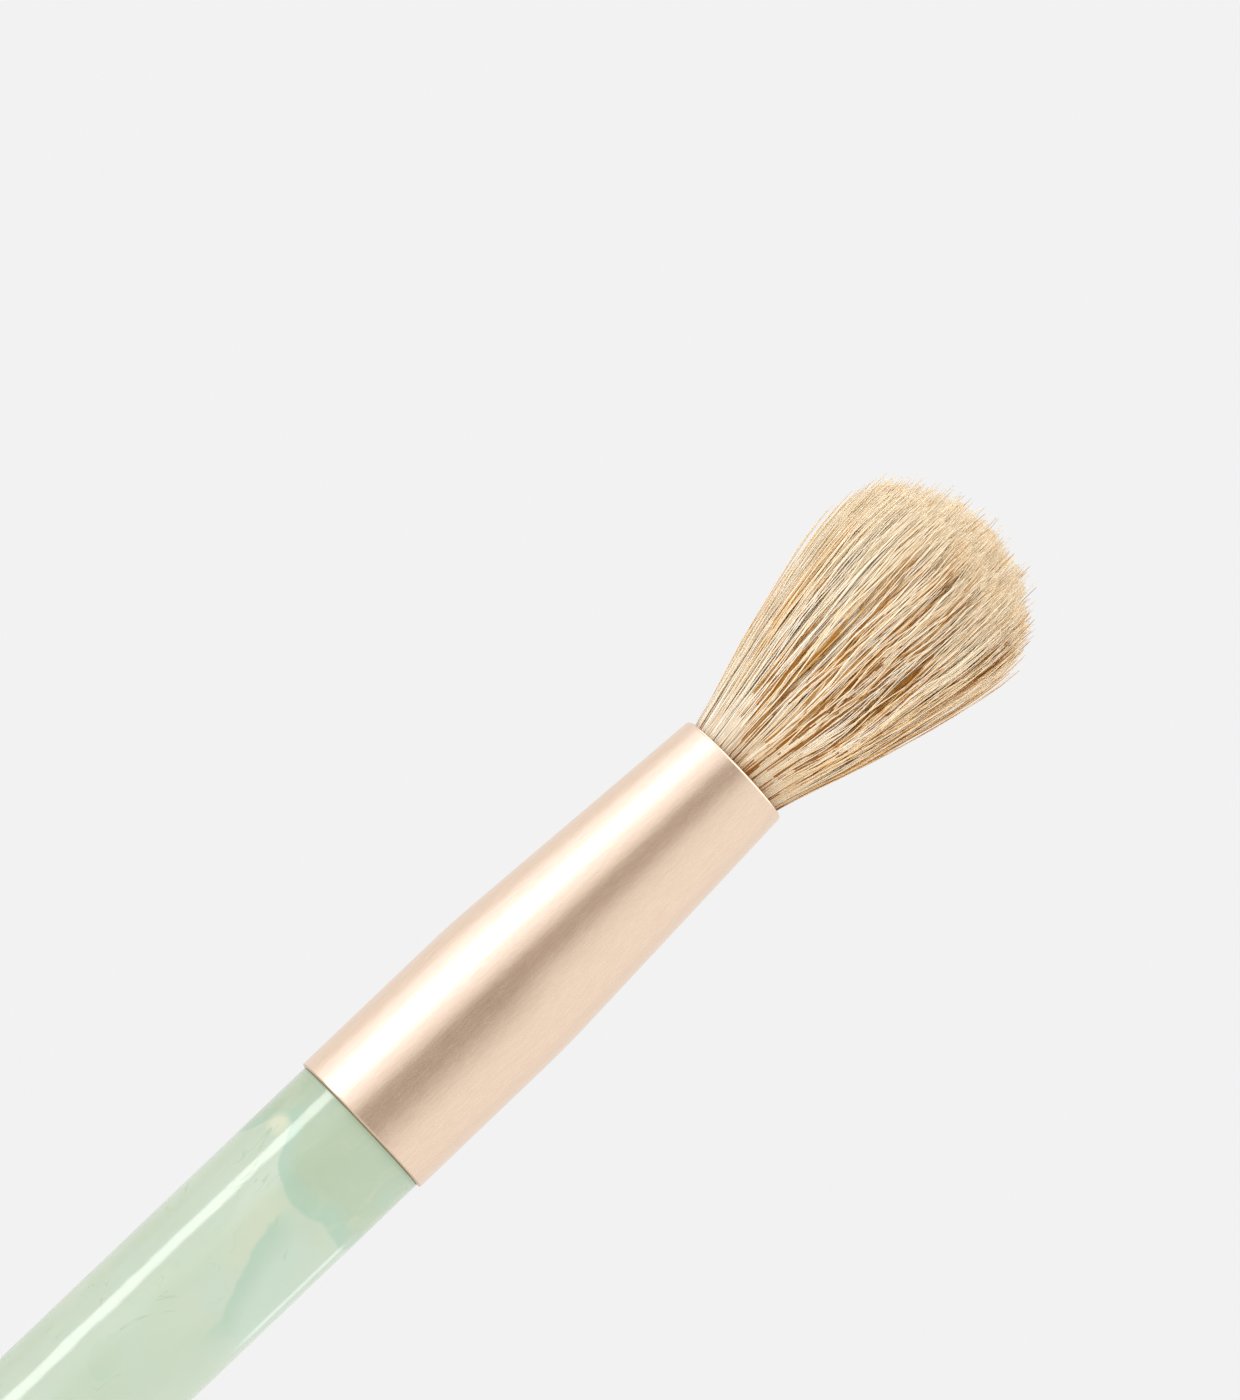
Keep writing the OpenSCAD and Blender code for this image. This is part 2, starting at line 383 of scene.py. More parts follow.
# handle: marbled jade-green resin
handleSetup = {
    "tailRadius": 3.1 * mm,
    "tailDome": 3 * mm,
    "taperLength": 44 * mm,
    "shoulderRound": 0.06 * mm,
    "tenonRadius": gripRadius - 0.26 * mm,
    "tenonChamfer": 0.5 * mm,
    "grooves": 3,
    "grooveWidth": 0.7 * mm,
    "grooveDepth": 0.3 * mm,
    "tailSteps": 16,
    "taperSteps": 32,
    "gripSteps": 24,
    "mapLengths": 3,
    # resins, with a painted reflection and painted shade among them
    "sage": (0.47, 0.555, 0.43),
    "paleSage": (0.505, 0.585, 0.465),
    "mossGreen": (0.395, 0.485, 0.35),
    "teal": (0.365, 0.505, 0.39),
    "mist": (0.465, 0.575, 0.475),
    "khaki": (0.53, 0.565, 0.42),
    "cream": (0.74, 0.71, 0.5),
    "paintedReflection": (0.72, 0.8, 0.76),
    "veinAndShadowGreen": (0.36, 0.49, 0.33),
    "leftPaintedShade": (0.83, 0.82, 0.79),
    # drifts, mist and smoke through the whole rod, each a field and where it sets in
    "driftField": (0.45, 0.21, 2, 0.45, 0.9),
    "driftEdge": (0.36, 0.62),
    "mistField": (0.6, 0.17, 1, 0.4, 1.4),
    "mistEdge": (0.5, 0.7),
    "mistShare": 0.35,
    "smokeField": (0.55, 0.5, 3, 0.5, 1.2),
    "smokeEdge": (0.48, 0.72),
    "smokeShare": 0.35,
    "hazeEdge": (0.48, 0.26),
    "hazeShare": 0.3,
    # from here lengths are in mm, below the ferrule or round the rod from the camera's side
    "foldField": (0.5, 0.13, 1, 0.35, 2.2),
    "foldEdge": (0.575, 0.582),
    "foldFade": (0.68, 0.58),
    "foldFrom": (13, 19),
    "foldShare": 0.28,
    "cloudReach": 4.6,
    "climbAt": (-0.7, -0.7, 0),    # in radii of the rod
    "climbNarrow": 7.7,
    "climbHeight": 2.2,
    "wanderField": (1, 0.45, 1),
    "wanderFront": 1.1,
    "wanderBack": 9.0,
    "backEdge": (0.3, 3.0),
    "cloudEdge": (-0.14, 0.12),
    "cloudRim": (0.1, 1.5),
    "cloudSmoke": (0.5, 0.7),
    "cloudSmokeShare": 0.4,
    "cloudHaze": (0.5, 0.3),
    "cloudHazeShare": 0.35,
    "cloudShare": 0.92,
    "cloudFainterBehind": 0.45,
    "secondAside": 0.35,
    "secondBendFrom": 6.2,
    "secondBendOver": 4.8,
    "secondBendPower": 1.6,
    "secondBend": 1.75,
    "rippleField": (1, 0.8, 2),
    "rippleWidth": 0.7,
    "secondFrom": (5.0, 6.6),
    "secondUntil": (13.2, 10.4),
    "secondEdge": (-0.16, 0.16),
    "secondFade": (5.5, 1.6),
    "secondRim": (0.1, 1.7),
    "secondShare": 0.7,
    "fringeEdge": (-2.0, -0.2),
    "fringeEnd": (0.05, -0.1),
    "fringeFrom": (4.2, 5.6),
    "fringeUntil": (11.5, 7.5),
    "fringeShare": 0.5,
    "spotAt": (-0.745, -0.667),    # in radii of the rod
    "spotDown": 2.75,
    "spotSqueeze": 1.2,
    "spotEdge": (1.0, 0.2),
    "spotShare": 0.5,
    "reflectionAside": 4.35,
    "reflectionEdge": (0.3, 0.06),
    "reflectionFrom": (4.2, 5),
    "reflectionUntil": (12, 10),
    "reflectionShare": 0.6,
    "veinField": (0.55, 0.3, 3, 0.6, 1.2),
    "veinLevel": 0.52,
    "veinEdge": (0.009, 0.002),
    "veinBreakField": (1, 0.55, 1),
    "veinBreak": (0.5, 0.62),
    "veinShare": 0.6,
    "leftShadeEdge": (0.6, -4.0),
    "leftShadeEnd": (-10, -7),
    "shadowRingDown": 0.17,
    "shadowRingEdge": (0.07, 0.02),
    "shadowRingShare": 0.55,
    # polish
    "polishField": (1, 1.4, 3),
    "roughness": (0.1, 0.16),
    "waveField": (1, 0.35, 2),
    "waveStrength": 0.05,
    "waveDepth": 1 * mm,
    "ior": 1.58,
    "specular": 0.6,
}


def makeHandle():
    s = handleSetup
    tail, dome, corner = s["tailRadius"], s["tailDome"], s["shoulderRound"]
    profile = []
    for i in range(s["tailSteps"] + 1):
        a = math.radians(90 * i / s["tailSteps"])
        profile.append((tail * math.sin(a), dome * (1 - math.cos(a))))
    for i in range(1, s["taperSteps"] + 1):
        share = i / s["taperSteps"]
        radius = tail + (gripRadius - tail) * (1 - math.cos(math.pi * share)) / 2
        profile.append((radius, dome + s["taperLength"] * share))
    gripFrom = dome + s["taperLength"]
    for i in range(1, s["gripSteps"]):
        z = gripFrom + (footZ - corner - gripFrom) * i / s["gripSteps"]
        profile.append((gripRadius, z))
    roundCorner(profile, gripRadius - corner, footZ - corner, corner, 0)
    core, chamfer = s["tenonRadius"], s["tenonChamfer"]
    profile.append((core, footZ))
    pitch = (tenonTopZ - footZ - chamfer) / (s["grooves"] + 1)
    for i in range(1, s["grooves"] + 1):
        low = footZ + pitch * i - s["grooveWidth"] / 2
        high = footZ + pitch * i + s["grooveWidth"] / 2
        deep = core - s["grooveDepth"]
        profile += [(core, low), (deep, low), (deep, high), (core, high)]
    profile += [(core, tenonTopZ - chamfer), (core - chamfer, tenonTopZ), (0, tenonTopZ)]
    return turnedPiece("handle_body", profile, lengths=s["mapLengths"])


def marbledResin():
    s = handleSetup
    material, tree, shader = newMaterial("marbled_resin")
    place = placeInMm(tree)
    x, y, z = splitAxes(tree, place)
    radius = gripRadius / mm
    down = minus(tree, footZ / mm, z)
    sideways = times(tree, angleRound(tree, x, y), radius)

    def within(value, *edges):
        shown = ease(tree, value, *s[edges[0]])
        for edge in edges[1:]:
            shown = times(tree, shown, ease(tree, value, *s[edge]))
        return shown

    def swayOf(name):
        return minus(tree, field(tree, s[name]), 0.5)

    # slow drifts of sage and pale sage, with mist and fine smoky streaks, through the whole rod
    drift = within(field(tree, s["driftField"]), "driftEdge")
    colour = mixColour(tree, drift, s["sage"], s["paleSage"])
    mist = within(field(tree, s["mistField"]), "mistEdge")
    colour = blend(tree, mist, s["mistShare"], colour, s["mist"])
    smoke = field(tree, s["smokeField"])
    colour = blend(tree, within(smoke, "smokeEdge"), s["smokeShare"], colour, s["mist"])
    colour = blend(tree, within(smoke, "hazeEdge"), s["hazeShare"], colour, s["khaki"])

    # folds further down: faint clouds with one crisp edge
    fold = within(field(tree, s["foldField"]), "foldEdge", "foldFade")
    fold = times(tree, fold, within(down, "foldFrom"))
    colour = blend(tree, fold, s["foldShare"], colour, s["teal"])

    # the cloud at the ferrule: its edge runs round the rod and climbs in one place
    around = scaleBy(tree, place, (1 / radius, 1 / radius, 0))
    fromClimb = calc(tree, "POWER", distanceTo(tree, around, s["climbAt"]), 2)
    climb = calc(tree, "EXPONENT", times(tree, fromClimb, -s["climbNarrow"]))
    back = within(y, "backEdge")
    swing = plus(tree, times(tree, back, s["wanderBack"]), s["wanderFront"])
    reach = minus(tree, s["cloudReach"], times(tree, swayOf("wanderField"), swing))
    reach = minus(tree, reach, times(tree, climb, s["climbHeight"]))
    inside = minus(tree, reach, down)
    cloud = mixColour(tree, within(inside, "cloudRim"), s["teal"], s["mossGreen"])
    cloud = blend(tree, within(smoke, "cloudSmoke"), s["cloudSmokeShare"], cloud, s["teal"])
    cloud = blend(tree, within(smoke, "cloudHaze"), s["cloudHazeShare"], cloud, s["khaki"])
    strong = minus(tree, s["cloudShare"], times(tree, back, s["cloudFainterBehind"]))
    colour = blend(tree, within(inside, "cloudEdge"), strong, colour, cloud)

    # the second cloud, lower on the right: crisp where it starts and fading round the rod
    below = minus(tree, down, s["secondBendFrom"])
    below = calc(tree, "DIVIDE", below, s["secondBendOver"], True)
    bend = times(tree, calc(tree, "POWER", below, s["secondBendPower"]), s["secondBend"])
    ripples = times(tree, swayOf("rippleField"), s["rippleWidth"])
    edge = plus(tree, bend, plus(tree, ripples, s["secondAside"]))
    past = minus(tree, sideways, edge)
    shown = times(tree, within(past, "secondEdge", "secondFade"),
                  within(down, "secondFrom", "secondUntil"))
    second = mixColour(tree, within(past, "secondRim"), s["teal"], s["mist"])
    colour = blend(tree, shown, s["secondShare"], colour, second)
    # and pale khaki before it
    fringe = times(tree, within(past, "fringeEdge", "fringeEnd"),
                   within(down, "fringeFrom", "fringeUntil"))
    colour = blend(tree, fringe, s["fringeShare"], colour, s["khaki"])

    # cream spot under the first cloud's edge
    squeeze = s["spotSqueeze"]
    spotX, spotY = (radius * share for share in s["spotAt"])
    spotAt = (spotX, spotY, (footZ / mm - s["spotDown"]) * squeeze)
    spot = distanceTo(tree, placeInMm(tree, squeeze), spotAt)
    colour = blend(tree, within(spot, "spotEdge"), s["spotShare"], colour, s["cream"])

    # painted reflection: a pale bluish ribbon along the right side, for the backdrop reflected at
    # the rod's edge
    paintedReflection = within(gapTo(tree, sideways, s["reflectionAside"]), "reflectionEdge")
    paintedReflection = times(tree, paintedReflection, within(down, "reflectionUntil", "reflectionFrom"))
    colour = blend(tree, paintedReflection, s["reflectionShare"], colour, s["paintedReflection"])

    # hairline veins, broken up along their way
    vein = within(gapTo(tree, field(tree, s["veinField"]), s["veinLevel"]), "veinEdge")
    vein = times(tree, vein, within(field(tree, s["veinBreakField"]), "veinBreak"))
    colour = blend(tree, vein, s["veinShare"], colour, s["veinAndShadowGreen"])

    # painted shade: the resin is darkened along the left side, to hold back the brighter light
    # that falls there
    leftShadeMask = within(sideways, "leftShadeEdge", "leftShadeEnd")
    colour = mixColour(tree, leftShadeMask, colour, s["leftPaintedShade"], "MULTIPLY")

    # painted shadow: a darker ring on the resin where it meets the ferrule, under the ferrule's
    # overhang
    ferruleShadowRing = within(gapTo(tree, down, s["shadowRingDown"]), "shadowRingEdge")
    colour = blend(tree, ferruleShadowRing, s["shadowRingShare"], colour, s["veinAndShadowGreen"])

    polish = spread(tree, field(tree, s["polishField"]), *s["roughness"])
    waves = field(tree, s["waveField"])
    dress(tree, shader, colour, polish, waves, s["waveStrength"], s["waveDepth"])
    shader.inputs["IOR"].default_value = s["ior"]
    shader.inputs["Specular IOR Level"].default_value = s["specular"]
    return material


handle = makeHandle()
finishPiece(handle, marbledResin(), "marbled_resin", "handle")
print("handle made")

# ferrule: drawn metal, straight over the tenon and then a slow cone
ferruleSetup = {
    "wall": 0.34 * mm,
    "mouthRadius": 3.14 * mm,
    "baseLength": 9.6 * mm,
    "blendLength": 3 * mm,
    "rimRound": 0.16 * mm,
    "lipRound": 0.05 * mm,
    "footRound": 0.1 * mm,
    "rows": 60,
    "rimSteps": 12,
    "mapLengths": 2,
    "metal": (0.95, 0.745, 0.585),
    "metalShade": (0.9, 0.69, 0.53),
    "edgeReflectionTan": (0.6, 0.42, 0.29),
    # lines drawn along it, a fine grain and a slow cloudiness, each a field
    "drawnField": (0.12, 9, 3, 0.6),
    "drawnShare": 0.5,
    "grainField": (1, 16, 2, 0.7),
    "cloudyField": (1, 1.1, 2),
    "shadeEdge": (0.62, 0.38),
    # painted reflection bands, in mm from the foot and from the mouth
    "footReflectionBand": (0.11, 0.04),
    "mouthReflectionBand": (-0.09, -0.03),
    "edgeReflectionShare": 0.85,
    "roughness": 0.18,
    "textureDull": 0.1,
    "cloudyDull": 0.05,
    "grainStrength": 0.13,
    "grainDepth": 0.02 * mm,
}


def outerRadius(z):
    s = ferruleSetup
    coneZ = footZ + s["baseLength"]
    fromZ, toZ = coneZ - s["blendLength"] / 2, coneZ + s["blendLength"] / 2
    if z <= fromZ:
        run = 0
    elif z >= toZ:
        run = z - coneZ
    else:
        run = (z - fromZ) ** 2 / (2 * s["blendLength"])
    return footRadius - (footRadius - s["mouthRadius"]) / (mouthZ - coneZ) * run


def makeFerrule():
    s = ferruleSetup
    foot, rim, lip, wall = s["footRound"], s["rimRound"], s["lipRound"], s["wall"]
    heights = np.linspace(footZ + foot * 2, mouthZ - rim * 2, s["rows"])
    profile = []
    roundCorner(profile, footRadius - foot, footZ + foot, foot, -90)
    profile += [(outerRadius(z), z) for z in heights]
    roundCorner(profile, outerRadius(mouthZ - rim) - rim, mouthZ - rim, rim, 0, s["rimSteps"])
    roundCorner(profile, outerRadius(mouthZ - lip) - wall + lip, mouthZ - lip, lip, 90)
    profile += [(outerRadius(z) - wall, z) for z in heights[::-1]]
    profile.append((boreRadius, footZ))
    return turnedPiece("ferrule_shell", profile, closed=True, lengths=s["mapLengths"])


def satinMetal():
    s = ferruleSetup
    material, tree, shader = newMaterial("satin_metal")
    drawn = times(tree, field(tree, s["drawnField"]), s["drawnShare"])
    grain = times(tree, field(tree, s["grainField"]), 1 - s["drawnShare"])
    texture = plus(tree, drawn, grain)
    shade = ease(tree, texture, *s["shadeEdge"])
    colour = mixColour(tree, shade, s["metal"], s["metalShade"])
    # painted reflection: both rounded edges are tinted tan-brown, for the shade and green handle
    # they reflect at the foot and the hair they reflect at the mouth
    height = splitAxes(tree, placeInMm(tree))[2]
    foot = ease(tree, height, *(footZ / mm + up for up in s["footReflectionBand"]))
    mouth = ease(tree, height, *(mouthZ / mm + up for up in s["mouthReflectionBand"]))
    edgeReflection = calc(tree, "MAXIMUM", foot, mouth)
    colour = blend(tree, edgeReflection, s["edgeReflectionShare"], colour, s["edgeReflectionTan"])
    dull = times(tree, texture, s["textureDull"])
    dull = plus(tree, dull, times(tree, field(tree, s["cloudyField"]), s["cloudyDull"]))
    dull = plus(tree, dull, s["roughness"])
    dress(tree, shader, colour, dull, texture, s["grainStrength"], s["grainDepth"])
    shader.inputs["Metallic"].default_value = 1.0
    return material


ferrule = makeFerrule()
finishPiece(ferrule, satinMetal(), "satin_metal", "ferrule")
print("ferrule made")

# tuft: fine tapered hairs in locks, fanning from the mouth into a soft dome
tuftSetup = {
    "seed": 11,
    "neckRadius": 2.86 * mm,
    "bellyRadius": 5.64 * mm,
    "widestShare": 0.74,
    "fanPower": 1.35,
    "domeShare": 0.29,
    "domePower": 2.3,
    # hairs gather in small wisps and wisps in locks, looser on the combed left side
    "locks": 240,
    "wisps": 1500,
    "scatter": 0.6,
    "combedEdge": (-0.75, 0.05),
    "combedMess": 0.15,
    "lockPull": 0.32,
    "lockPullPower": 1.5,
    "lockLift": (-0.04, 0.015),
    "lockSway": (0.1, 0.42),
    "lockWaves": (0.45, 1.1),
    # painted light and shade: locks on the combed left side, where the light falls, get a paler
    # tint, and loose locks to the right a darker one, with a random spread
    "litSidePaleTint": 0.18,
    "shadedSideDarkTint": -0.21,
    "lockTintSpread": 0.05,
    "wispPull": (0.1, 0.65),
}
rng = np.random.default_rng(tuftSetup["seed"])


def smoothStep(x, start, end):
    t = np.clip((x - start) / (end - start), 0, 1)
    return t * t * (3 - 2 * t)


def fanAt(share):
    # how far the tuft has spread at a share of the bristle length
    s = tuftSetup
    return 1 - (1 - np.clip(share / s["widestShare"], 0, 1)) ** s["fanPower"]


def topAt(place):
    # where a hair ends, for its place between the middle (0) and the outside (1)
    s = tuftSetup
    return 1 - s["domeShare"] * (1 - np.sqrt(1 - np.clip(place, 0, 1) ** s["domePower"]))


def anyTurn(count):
    return rng.uniform(0, 2 * math.pi, count)


def onDisc(place, angle):
    return np.stack([place * np.cos(angle), place * np.sin(angle)], 1)


def sunflower(count):
    # even places over a disc, each a golden angle on from the last
    index = np.arange(count)
    golden = math.pi * (3 - math.sqrt(5))
    jitter = rng.normal(0, tuftSetup["scatter"] / math.sqrt(count), count)
    return onDisc(np.sqrt((index + 0.5) / count), index * golden + jitter)


def nearest(points, targets):
    return ((points[:, None] - targets[None]) ** 2).sum(2).argmin(1)


def gatherLocks():
    s = tuftSetup
    xy = sunflower(s["locks"])
    count = len(xy)
    mess = s["combedMess"] + (1 - s["combedMess"]) * smoothStep(xy[:, 0], *s["combedEdge"])
    # the draws follow one another in this order
    return {
        "xy": xy,
        "mess": mess,
        "pull": mess * s["lockPull"] * rng.random(count) ** s["lockPullPower"],
        "lift": mess * rng.uniform(*s["lockLift"], count),
        "sway": mess * rng.uniform(*s["lockSway"], count) * mm,
        "turn": anyTurn(count),
        "waves": rng.uniform(*s["lockWaves"], count),
        "tint": s["litSidePaleTint"] + mess * rng.normal(s["shadedSideDarkTint"], s["lockTintSpread"], count),
    }


locks = gatherLocks()
wispXY = sunflower(tuftSetup["wisps"])
wispLock = nearest(wispXY, locks["xy"])
wispPull = locks["mess"][wispLock] * rng.uniform(*tuftSetup["wispPull"], len(wispXY))

# one hair, with its lengths as shares of its own length or of the bristles'
hairSetup = {
    "radius": 0.036 * mm,
    "rootDepth": 1.2 * mm,
    "shortenPower": 1.6,
    "freeBy": 0.3,
    "tipFrom": 0.65,
    "tipFreedom": 0.6,
    "tuckAt": 0.95,
    "waves": (1.0, 3.6),
    "waveSize": (0.3, 1.0),
    "combedWave": 0.4,
    "outwardWave": 0.25,
    "flyFrom": (0.6, 1.1),
    "mouthShadeTint": 0.17,
    "tintLimits": (0.02, 0.98),
    "thinRoot": 0.1,
    "thinRootUntil": 0.3,
    "thinTip": 0.6,
    "thinTipFrom": 0.86,
    "mapWidth": 0.006,
    "mapMargin": 0.01,
}


# pull gathers hairs in wisps, hold keeps them on top, sink draws them in, bend moves them aside
def growHairs(name, place, angle, tint, steps=11, wave=0.05, drift=0.0, thick=1.0,
              pull=1.0, shorten=0.06, fly=0.0, bend=0.0, hold=0.0, sink=0.0):
    s, t = hairSetup, tuftSetup
    count = len(place)
    disc = onDisc(place, angle)
    wisp = nearest(disc, wispXY)
    lock = wispLock[wisp]
    ofLock = {key: value[lock][:, None] for key, value in locks.items()}
    along = np.linspace(0, 1, steps)[None, :]
    top = bristleLength * (topAt(place) - shorten * rng.random(count) ** s["shortenPower"])
    height = -s["rootDepth"] + along * (top + s["rootDepth"])[:, None]
    fan = fanAt(height.clip(0) / bristleLength)
    scale = t["neckRadius"] + (t["bellyRadius"] - t["neckRadius"]) * fan

    # each hair leans to its wisp and its lock, most at mid length
    free = smoothStep(height / bristleLength, 0.0, s["freeBy"])
    lean = free * (1 - s["tipFreedom"] * smoothStep(along, s["tipFrom"], 1)) * pull
    xy = []
    for axis in (0, 1):
        start, wispAt = disc[:, axis, None], wispXY[wisp, axis, None]
        gathered = start + (wispAt - start) * lean * wispPull[wisp][:, None]
        lockAt = locks["xy"][lock, axis, None]
        xy.append(gathered + (lockAt - gathered) * lean * ofLock["pull"])
    # those that lie on top keep their own distance from the axis
    keep = 1 + hold * (place[:, None] / np.hypot(*xy) - 1)
    # and are tucked in at the mouth
    tuck = np.minimum(s["tuckAt"] / place, 1)[:, None]
    tuck = tuck + (1 - tuck) * free
    lift = 1 + ofLock["lift"] * free
    xy = [part * keep * tuck * scale * lift * (1 - sink) for part in xy]

    # locks sway sideways together, and each hair has its own small waves
    sway = np.sin(2 * math.pi * ofLock["waves"] * along + ofLock["turn"]) * ofLock["sway"] * free
    ownWaves = rng.uniform(*s["waves"], (count, 2, 1))
    ownTurn = anyTurn((count, 2, 1))
    ownSize = rng.uniform(*s["waveSize"], (count, 2, 1)) * wave * mm
    ownSize = ownSize * (s["combedWave"] + (1 - s["combedWave"]) * ofLock["mess"][:, None])
    own = ownSize * np.sin(2 * math.pi * ownWaves * along[None] + ownTurn)
    flyOff = rng.normal(0, fly, count)[:, None] * mm * smoothStep(along, *s["flyFrom"])
    side = sway + own[:, 0] * free + flyOff + bend * mm * free
    out = own[:, 1] * free * s["outwardWave"]
    cosine, sine = np.cos(angle)[:, None], np.sin(angle)[:, None]
    x = xy[0] - sine * side + cosine * out
    y = xy[1] + cosine * side + sine * out

    # wisps drift round the tuft as they rise
    turn = np.asarray(drift).reshape(-1, 1) * along
    x, y = x * np.cos(turn) - y * np.sin(turn), x * np.sin(turn) + y * np.cos(turn)
    centre = np.stack([x, y, mouthZ + height], 2)
    # painted shade: hairs of the loose locks are darker near the mouth, for the shade at the
    # ferrule's rim
    tint = np.atleast_2d(tint.T).T + ofLock["tint"] - s["mouthShadeTint"] * ofLock["mess"] * (1 - free)
    tint = np.broadcast_to(tint.clip(*s["tintLimits"]), (count, steps))
    return hairMesh(name, centre, angle, tint, along[0], thick)


def hairMesh(name, centre, angle, tint, along, thick):
    # three-sided tapered tubes; the map holds the tint across and the place along the hair up
    s = hairSetup
    count, steps = centre.shape[:2]
    tangent = np.gradient(centre, axis=1)
    tangent /= np.linalg.norm(tangent, axis=2, keepdims=True)
    outward = np.stack([np.cos(angle), np.sin(angle), np.zeros(count)], 1)[:, None]
    outward = outward - (outward * tangent).sum(2, keepdims=True) * tangent
    outward /= np.linalg.norm(outward, axis=2, keepdims=True)
    side = np.cross(tangent, outward)
    taper = 1 - s["thinRoot"] * (1 - smoothStep(along, 0, s["thinRootUntil"]))
    taper = taper * (1 - s["thinTip"] * smoothStep(along, s["thinTipFrom"], 1))
    width = np.broadcast_to(s["radius"] * thick * taper, (count, steps))[:, :, None]
    corners, sides = [], 3
    for j in range(sides):
        a = math.pi * (2 * j + 1) / sides
        corners.append(centre + width * (math.cos(a) * outward + math.sin(a) * side))
    points = np.stack(corners, 2).reshape(-1, 3)

    first = (np.arange(count) * steps * sides)[:, None, None]
    row = first + (np.arange(steps - 1) * sides)[None, :, None]
    above = row + sides
    j = np.arange(sides)[None, None, :]
    k = (j + 1) % sides
    quads = np.stack([row + j, row + k, above + k, above + j], 3).reshape(-1, 4)
    shape = (count, steps - 1, sides)
    tints = [np.broadcast_to(t[:, :, None], shape) for t in (tint[:, :-1], tint[:, 1:])]
    low, high = (np.broadcast_to(a[None, :, None], shape) for a in (along[:-1], along[1:]))
    half = s["mapWidth"] / 2
    u = np.stack([tints[0] - half, tints[0] + half, tints[1] + half, tints[1] - half], 3)
    v = np.stack([low, low, high, high], 3)
    uv = s["mapMargin"] + (1 - 2 * s["mapMargin"]) * np.stack([u.ravel(), v.ravel()], 1)

    mesh = bpy.data.meshes.new(name)
    mesh.vertices.add(len(points))
    mesh.vertices.foreach_set("co", points.astype(np.float32).ravel())
    mesh.loops.add(quads.size)
    mesh.loops.foreach_set("vertex_index", quads.astype(np.int32).ravel())
    mesh.polygons.add(len(quads))
    mesh.polygons.foreach_set("loop_start", (np.arange(len(quads)) * 4).astype(np.int32))
    mesh.polygons.foreach_set("use_smooth", np.ones(len(quads), bool))
    mesh.update(calc_edges=True)
    mesh.validate()
    layer = mesh.uv_layers.new(name="OFBake")
    layer.data.foreach_set("uv", uv.astype(np.float32).ravel())
    piece = bpy.data.objects.new(name, mesh)
    bpy.context.scene.collection.objects.link(piece)
    return piece


# the hair's colours, from the darkest tint to the palest
hairColours = {
    "stops": [
        (0.02, (0.27, 0.095, 0.01)),
        (0.12, (0.42, 0.18, 0.03)),
        (0.26, (0.7, 0.39, 0.12)),
        (0.42, (0.94, 0.66, 0.35)),
        (0.62, (0.99, 0.8, 0.53)),
        (0.85, (1.0, 0.88, 0.7)),
        (0.98, (1.0, 0.92, 0.78)),
    ],
    "tip": (1.0, 0.86, 0.64),
    "tipFrom": (0.55, 1.0),
    "tipTint": (0.15, 0.5),
    "tipShare": 0.78,
    "rootGreyShade": (0.6, 0.46, 0.33),
    "rootShadeUntil": (0.35, 0.08),
    "rootShadeTint": (0.15, 0.4),
    "rootShadePalest": (1.0, 0.6),
    "rootShadeShare": 0.75,
    "tan": (0.75, 0.5, 0.28),
    "tanStretch": (160, 5, 1),
    "tanField": (1, 2, 0.6),
    "tanEdge": (0.6, 0.3),
    "tanShare": 0.15,
    "roughness": (0.38, 0.55),
    "scaleStretch": (90, 260, 1),
    "scaleField": (1, 1),
    "scaleStrength": 0.2,
    "scaleDepth": 0.004 * mm,
    "specular": 0.04,
    "sheen": 0.04,
    "sheenRoughness": 0.5,
    "sheenTint": (1.0, 0.86, 0.62, 1),
}


def naturalHair():
    s = hairColours
    material, tree, shader = newMaterial("natural_hair")
    chart = addNode(tree, "ShaderNodeUVMap", uv_map="OFBake").outputs["UV"]
    tint, along = splitAxes(tree, chart)[:2]
    ramp = addNode(tree, "ShaderNodeValToRGB", {"Fac": tint})
    band = ramp.color_ramp
    while len(band.elements) < len(s["stops"]):
        band.elements.new(0.5)
    for element, (position, colour) in zip(band.elements, s["stops"]):
        element.position = position
        element.color = (*colour, 1)
    # tips pale but for the brown stretches
    pale = times(tree, ease(tree, along, *s["tipFrom"]), ease(tree, tint, *s["tipTint"]))
    colour = blend(tree, pale, s["tipShare"], ramp.outputs["Color"], s["tip"])
    # greyer and darker near the mouth, the palest least: partly the hair's own greyer roots,
    # partly painted shade at the mouth
    rootGreyShade = times(tree, ease(tree, along, *s["rootShadeUntil"]), ease(tree, tint, *s["rootShadeTint"]))
    rootGreyShade = times(tree, rootGreyShade, ease(tree, tint, *s["rootShadePalest"]))
    colour = blend(tree, rootGreyShade, s["rootShadeShare"], colour, s["rootGreyShade"])
    # each hair changes a little along its way, and has fine scales
    change = noise(tree, scaleBy(tree, chart, s["tanStretch"]), *s["tanField"])
    colour = blend(tree, ease(tree, change, *s["tanEdge"]), s["tanShare"], colour, s["tan"])
    gloss = spread(tree, change, *s["roughness"])
    scales = noise(tree, scaleBy(tree, chart, s["scaleStretch"]), *s["scaleField"])
    dress(tree, shader, colour, gloss, scales, s["scaleStrength"], s["scaleDepth"])
    shader.inputs["Specular IOR Level"].default_value = s["specular"]
    shader.inputs["Sheen Weight"].default_value = s["sheen"]
    shader.inputs["Sheen Roughness"].default_value = s["sheenRoughness"]
    shader.inputs["Sheen Tint"].default_value = s["sheenTint"]
    return material


